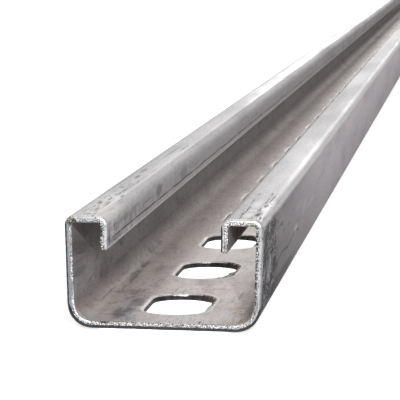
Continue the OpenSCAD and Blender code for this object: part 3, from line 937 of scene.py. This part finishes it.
    # the edges of the slots: a light turned-over rim on both sides with a painted highlight along its roll, torn and
    # spotted on the right with painted shade in the torn edge
    gap = k.math("ADD", k.slot_gap(), k.mul(k.math("SUBTRACT", k.noise(1.6, 3.0, 0.7, shift=(2, 2, 2)), 0.5), 1.1))
    torn_noise = k.noise(0.9, 3.0, 0.75, stretch=(1, 0.6, 1), shift=(4, 1, 1))
    light = k.most(k.mul(k.band(gap, 0.55, 1.25, 0.22), k.span(k.X, 3.5, 5.8), k.span(k.Y, 70, 160, 0.85, 0.15)),
                   k.mul(k.band(gap, -2.0, 0.8, 0.22), k.span(k.X, 1.5, 4.0), k.span(k.Y, 27, 23), k.span(torn_noise, 0.56, 0.46)),
                   k.mul(k.band(gap, -2.5, 0.15, 0.2), k.span(k.X, 0.5, 2.5), k.span(k.Y, 58, 61), k.span(k.Y, 79, 73), k.span(torn_noise, 0.54, 0.46), 0.85),
                   k.mul(k.band(gap, 0.10, 0.75, 0.25), k.span(k.X, -4.5, -6.2), k.span(k.Y, 45, 150, 0.50, 0.08)))
    col = k.mix(light, col, rgb(0.93, 0.90, 0.88))
    # painted shade along the slots' torn right edges, dark and ragged
    torn_edge_and_shade = k.mul(k.band(gap, -3.0, 0.62, 0.12), k.span(k.X, 1.5, 4.0), k.span(k.Y, 21, 26, 0.25, 1.0), 0.95,
                   k.span(k.math("ADD", torn_noise, k.span(gap, -0.25, 0.05, -0.10, 0.0)), 0.40, 0.50))
    col = k.mix(torn_edge_and_shade, col, rgb(0.050, 0.036, 0.032))
    # faint rust on the right, near the end
    rusty = k.marks(((14.3, 17.5, 1.5), (1.7, 4.5, 0), 0.95), ((15.6, 6.5, 1.5), (1.3, 3.0, 0), 0.9), ((12.2, 20, 1.5), (0.8, 3.0, 0), 0.6))
    rusty = k.mul(rusty, k.span(k.noise(0.9, 3.0, 0.7, stretch=(1, 0.4, 1), shift=(2, 7, 7)), 0.48, 0.60))
    col = k.mix(k.mul(rusty, 0.92), col, rgb(0.52, 0.29, 0.09))

    rough = k.math("ADD", k.span(stain, 0.3, 0.7, 0.44, 0.56), k.mul(bend, 0.12))
    h = k.math("ADD", k.mul(grain, 0.7), k.mul(drag, 0.4))
    h = k.math("ADD", h, k.mul(mid, 0.6))
    return k.finish(col, rough, METAL, h, 0.022, 0.7)


def cut_tones_and_edge_light(k, col, soft):
    """The run of tones across the thickness of a cut end, which differs from side to side: painted highlights where the
    rounded outer edge faces up or right, painted shade where it faces left or down.
    """
    d = k.math("ADD", k.sheet_depth(), k.mul(k.math("SUBTRACT", k.noise(1.3, 3.0, 0.6, stretch=(1, 0, 1), shift=(5, 5, 1)), 0.5), 0.42))
    below = k.span(k.Z, 22.3, 21.5)
    left, right, top = k.mul(k.span(k.X, -18.5, -19.3), below), k.span(k.X, 18.5, 19.3), k.span(k.Z, 21.7, 22.3)
    foot = k.span(k.Z, 2.6, 1.4)
    heel_l = k.mul(k.span(k.X, -14.2, -16.8), k.span(k.Z, 7.6, 3.6))
    heel_r = k.mul(k.span(k.X, 14.2, 16.8), k.span(k.Z, 6.4, 3.6))
    lip_l, lip_r = k.mul(k.band(k.X, -13.5, -11.0, 0.1), below), k.mul(k.band(k.X, 11.0, 13.5, 0.1), below)
    # the rounded outer edge on the top, the right side and the left lip: smooth bare metal with a painted highlight
    wide = k.most(k.mul(top, 0.62), k.mul(lip_l, 0.55))
    bare_and_highlight = k.span(k.math("SUBTRACT", wide, d), -0.10, 0.14)
    bare_and_highlight = k.most(bare_and_highlight, k.mul(right, k.span(k.Z, 3.0, 7.0), k.band(d, 0.38, 0.86, 0.12)))
    uneven = k.span(k.noise(0.9, 3.0, 0.7, shift=(7, 5, 3)), 0.36, 0.62, 1.0, 0.45)
    col = k.mix(k.mul(bare_and_highlight, soft, uneven), col, k.mix(top, rgb(0.62, 0.63, 0.67), rgb(0.97, 0.96, 0.94)))
    col = k.mix(k.mul(right, k.span(k.Z, 3.0, 6.0), k.span(d, 0.44, 0.26), 0.80), col, rgb(0.36, 0.365, 0.38))
    col = k.mix(k.mul(top, k.span(d, 0.34, 0.18), k.span(k.X, -18.8, -17.8), 0.75), col, rgb(0.98, 0.98, 0.97))
    col = k.mix(k.mul(top, k.band(d, 0.46, 0.82, 0.10), k.band(k.X, -17.9, -13.9, 0.5), 0.72), col, rgb(0.38, 0.41, 0.46))
    col = k.mix(k.mul(top, k.span(d, 1.12, 1.36), 0.55), col, rgb(0.10, 0.095, 0.09))
    # bluish band down the left
    col = k.mix(k.mul(left, k.band(d, 0.20, 1.00, 0.10), 0.90), col, rgb(0.31, 0.335, 0.38))
    # painted highlight where the inner bends meet the cut
    arc = k.mul(k.span(d, 1.18, 1.34), k.most(k.mul(k.span(k.X, -14.5, -16.0), k.span(k.Z, 9.0, 5.0)), k.mul(k.span(k.X, 13.5, 15.5), k.span(k.Z, 5.0, 3.2), 0.45)))
    col = k.mix(k.mul(arc, 0.9), col, rgb(0.98, 0.97, 0.95))
    # painted shade on the rounded outer edge where it faces left or down: on the left, the foot and the right lip
    wide = k.most(k.mul(left, 0.47), k.mul(foot, 0.78), k.mul(heel_l, 0.80), k.mul(heel_r, 0.55), k.mul(lip_r, 0.42))
    dark = k.span(k.math("SUBTRACT", wide, d), -0.10, 0.12)
    col = k.mix(k.mul(dark, 0.96), col, rgb(0.030, 0.032, 0.040))
    # dirt in the left corner of the top
    patch = k.mul(k.blob((-19.35, 0, 22.25), (0.95, 0, 0.85), 1.0, 0.3), k.span(k.noise(0.5, 2.0, 0.7, shift=(8, 8, 8)), 0.36, 0.52), k.span(k.Y, 6, 3))
    return k.mix(k.mul(patch, 0.9), col, rgb(0.045, 0.030, 0.020)), d


# painted shade on the cut ends: darker on the right side and slightly on the left, lighter along the foot
def painted_side_shade(k):
    return k.mul(k.span(k.X, 16.5, 19.2, 0.84, 0.70), k.span(k.X, -16.5, -19.2, 1.0, 0.94), k.span(k.Z, 3.0, 1.6, 1.0, 1.18))


def cut_end_metal():
    """Sawn and broken grains: bright flecks beside black pits."""
    k = Nodes("cut_edge")
    speck = k.noise(0.27, 2.0, 0.7)
    pit = k.noise(0.42, 2.0, 0.6, shift=(3, 1, 2))
    tone = k.noise(3.0, 2.0, 0.5, shift=(1, 1, 5))
    tint = k.noise(0.5, 1.0, 0.5, shift=(4, 4, 4))
    col = k.mix(k.span(speck, 0.44, 0.58), rgb(0.085, 0.08, 0.083), rgb(0.92, 0.91, 0.90))
    col = k.mix(k.span(tint, 0.56, 0.68, 0.0, 0.30), col, rgb(0.86, 0.66, 0.42))
    col = k.mix(k.span(tint, 0.44, 0.32, 0.0, 0.30), col, rgb(0.46, 0.62, 0.86))
    hole = k.span(pit, 0.61, 0.68)
    col = k.mix(k.span(tone, 0.50, 0.64, 0.0, 0.45), col, rgb(0.13, 0.12, 0.115))
    # the cut's tones, with painted highlights and shade on its rounded edges
    col, d = cut_tones_and_edge_light(k, col, 0.85)
    # dark nicks along the inner edge
    inner = k.mul(k.span(d, 0.90, 1.30), k.most(k.span(k.X, 18.5, 19.0), k.band(k.X, -13.5, -11.0, 0.1)), k.span(k.noise(0.55, 2.0, 0.6, shift=(6, 1, 9)), 0.47, 0.56))
    hole = k.most(hole, k.mul(inner, 0.9))
    col = k.mix(hole, col, rgb(0.020, 0.019, 0.020))
    col = k.mix(1.0, col, k.tone(painted_side_shade(k)), "MULTIPLY")
    rough = k.span(speck, 0.3, 0.7, 0.50, 0.28)
    return k.finish(col, rough, 0.55, k.math("SUBTRACT", speck, k.mul(hole, 1.2)), 0.10, 0.9)


def rim_metal():
    """The rounded edge of a cut end and the free edge of a lip: smoother and lighter, with a few nicks; near the ends
    it takes the cut's painted highlights and shade.
    """
    k = Nodes("worn_rim")
    nick = k.noise(0.6, 2.0, 0.6, shift=(3, 7, 2))
    tone = k.noise(2.4, 3.0, 0.6, shift=(1, 4, 5))
    grain = k.noise(0.30, 2.0, 0.6)
    col = k.mix(k.span(tone, 0.36, 0.66), rgb(0.84, 0.84, 0.86), rgb(0.50, 0.50, 0.52))
    col = k.mix(k.span(grain, 0.45, 0.68, 0.0, 0.30), col, grey(0.16))
    toned, _ = cut_tones_and_edge_light(k, col, 0.9)
    toned = k.mix(1.0, toned, k.tone(painted_side_shade(k)), "MULTIPLY")
    col = k.mix(k.span(k.E, 1.6, 1.2), col, toned)
    col = k.mix(k.span(nick, 0.61, 0.68, 0.0, 0.85), col, rgb(0.030, 0.028, 0.030))
    return k.finish(col, k.span(tone, 0.3, 0.7, 0.30, 0.46), 0.55, k.math("SUBTRACT", k.mul(grain, 0.6), nick), 0.05, 0.7)


def sheared_metal():
    """The walls of the punched slots: near-black as painted shade inside the holes, brown on the right, with a bright
    turned burr along the far left.
    """
    k = Nodes("slot_wall")
    lines = k.noise(0.9, 3.0, 0.7, stretch=(1, 1, 0.5))
    patch = k.noise(4.0, 3.0, 0.6, shift=(3, 2, 1))
    spots = k.noise(0.8, 3.0, 0.75, shift=(5, 2, 1))
    # painted shade: the slot walls near-black, as they stand in shadow inside the holes
    col = k.mix(k.span(lines, 0.40, 0.70), rgb(0.020, 0.018, 0.021), rgb(0.050, 0.045, 0.048))
    right = k.span(k.X, 0.5, 4.0)
    col = k.mix(k.mul(right, k.span(patch, 0.40, 0.58), 0.75), col, rgb(0.095, 0.052, 0.036))
    col = k.mix(k.mul(k.span(spots, 0.60, 0.70), k.most(k.mul(right, 0.45), 0.12)), col, rgb(0.42, 0.40, 0.38))
    # the second slot's torn corner shows bare broken metal
    bare_and_highlight = k.mul(k.span(k.Y, 60, 61.5), k.span(k.Y, 75, 69), k.span(k.X, 0.0, 2.0), k.span(k.Z, 0.5, 0.9))
    col = k.mix(k.mul(bare_and_highlight, k.span(k.noise(1.3, 3.0, 0.7, shift=(2, 6, 4)), 0.40, 0.52), 0.8), col, rgb(0.56, 0.53, 0.51))
    # the burr
    y = k.math("SUBTRACT", k.math("WRAP", k.Y, PITCH, 0.0), PITCH / 2)
    first = k.span(k.Y, 55, 45)
    tall = k.mul(k.span(k.X, -7.0, -0.4, 0.14, 0.52, False), k.span(k.X, 1.8, -0.6))
    low = k.mul(k.span(k.X, -6.0, -2.2, 0.04, 0.50, False), k.span(k.X, 2.4, -1.6))
    tall = k.math("ADD", k.mul(first, tall), k.mul(k.no(first), low))
    tall = k.mul(tall, k.span(k.noise(1.6, 3.0, 0.7, shift=(1, 3, 8)), 0.34, 0.60, 0.65, 1.15))
    burr = k.mul(k.span(k.math("SUBTRACT", k.Z, k.math("SUBTRACT", T, tall)), -0.10, 0.10), k.span(tall, 0.05, 0.15), k.span(y, 8, 10))
    col = k.mix(k.mul(burr, k.span(spots, 0.66, 0.56)), col, rgb(0.95, 0.93, 0.90))
    return k.finish(col, 0.55, k.mul(burr, 0.5), lines, 0.05, 0.6)


for _m in (outer_skin(), inner_skin(), cut_end_metal(), sheared_metal(), rim_metal()):
    mesh.materials.append(_m)

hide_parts(NODE)
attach(channel, "root")


# ---------------------------------------------------------------------- stage
GLOW = 0.65                              # the floor is a white lit panel, as under a product on a light table


def floor():
    me = bpy.data.meshes.new("floor")
    s, z = 40.0, -0.0003
    me.from_pydata([(-s, -s, z), (s, -s, z), (s, s, z), (-s, s, z)], [], [(0, 1, 2, 3)])
    o = bpy.data.objects.new("floor", me)
    bpy.context.scene.collection.objects.link(o)
    m = bpy.data.materials.new("pale_floor")
    m.use_nodes = True
    b = m.node_tree.nodes["Principled BSDF"]
    b.inputs["Base Color"].default_value = rgb(0.88, 0.88, 0.88)
    b.inputs["Roughness"].default_value = 0.9
    b.inputs["Specular IOR Level"].default_value = 0.1
    b.inputs["Emission Color"].default_value = rgb(1, 1, 1)
    b.inputs["Emission Strength"].default_value = GLOW
    me.materials.append(m)


floor()


def area(name, loc, aim, sx, sy, watts, colour=(1, 1, 1)):
    d = bpy.data.lights.new(name, "AREA")
    d.shape, d.size, d.size_y, d.energy, d.color = "RECTANGLE", sx, sy, watts, colour
    o = bpy.data.objects.new(name, d)
    bpy.context.scene.collection.objects.link(o)
    o.location = loc
    o.rotation_mode = "QUATERNION"
    o.rotation_quaternion = (Vector(aim) - Vector(loc)).to_track_quat("-Z", "Y")
    return o


LIGHTS = (            # name, place, aim, width, height, watts
    ("key", (0.346, -2.6, 0.60), (0.0, -1.0, 0.01), 0.03, 0.03, 20),
    ("top", (-0.2, 0.0, 2.2), (0.0, 0.0, 0.0), 1.6, 3.0, 24.0),
    ("front_top", (0.3, -1.5, 1.6), (0.0, -0.9, 0.0), 0.9, 0.9, 0),
    ("back_left", (-2.4, 5.0, 1.5), (0.0, -0.4, 0.0), 3.6, 2.4, 5),
    ("back", (0.15, 5.4, 1.5), (0.0, -0.4, 0.0), 1.7, 2.4, 45.5),
    ("side", (2.2, -0.9, 1.0), (0.0, -0.9, 0.0), 1.8, 1.0, 4.9),
    ("side_low", (1.9, -1.9, 0.35), (0.0, -0.9, 0.0), 1.0, 0.5, 0.0),
)
WORLD = 0.20
for _n, _at, _aim, _w, _h, _p in LIGHTS:
    if _p > 0:
        area(_n, _at, _aim, _w, _h, _p)

world = bpy.data.worlds.new("studio")
bpy.context.scene.world = world
world.use_nodes = True
world.node_tree.nodes["Background"].inputs["Color"].default_value = rgb(1, 1, 1)
world.node_tree.nodes["Background"].inputs["Strength"].default_value = WORLD
bpy.context.scene.view_settings.view_transform = "Standard"


# --------------------------------------------------------------------- camera
def camera():
    rv = Vector((0.11858610, 0.12362575, 0.01666244))
    rot = Matrix.Rotation(rv.length, 3, rv.normalized())
    base = Matrix(((1, 0, 0), (0, 0, -1), (0, 1, 0)))
    r = rot @ base                               # rows: right, down, forward in the row frame
    right, down, fwd = Vector(r[0]), Vector(r[1]), Vector(r[2])
    m = Matrix((right, -down, -fwd)).transposed().to_4x4()
    m.translation = Vector((63.769235 * MM, (Y_NEAR - 455.228674) * MM, 82.261031 * MM))
    d = bpy.data.cameras.new("camera")
    d.sensor_width, d.sensor_fit = 36.0, "HORIZONTAL"
    d.lens = 2262.4503 / 400 * 36.0
    d.clip_start, d.clip_end = 0.02, 100
    o = bpy.data.objects.new("camera", d)
    bpy.context.scene.collection.objects.link(o)
    o.matrix_world = m
    bpy.context.scene.camera = o


camera()
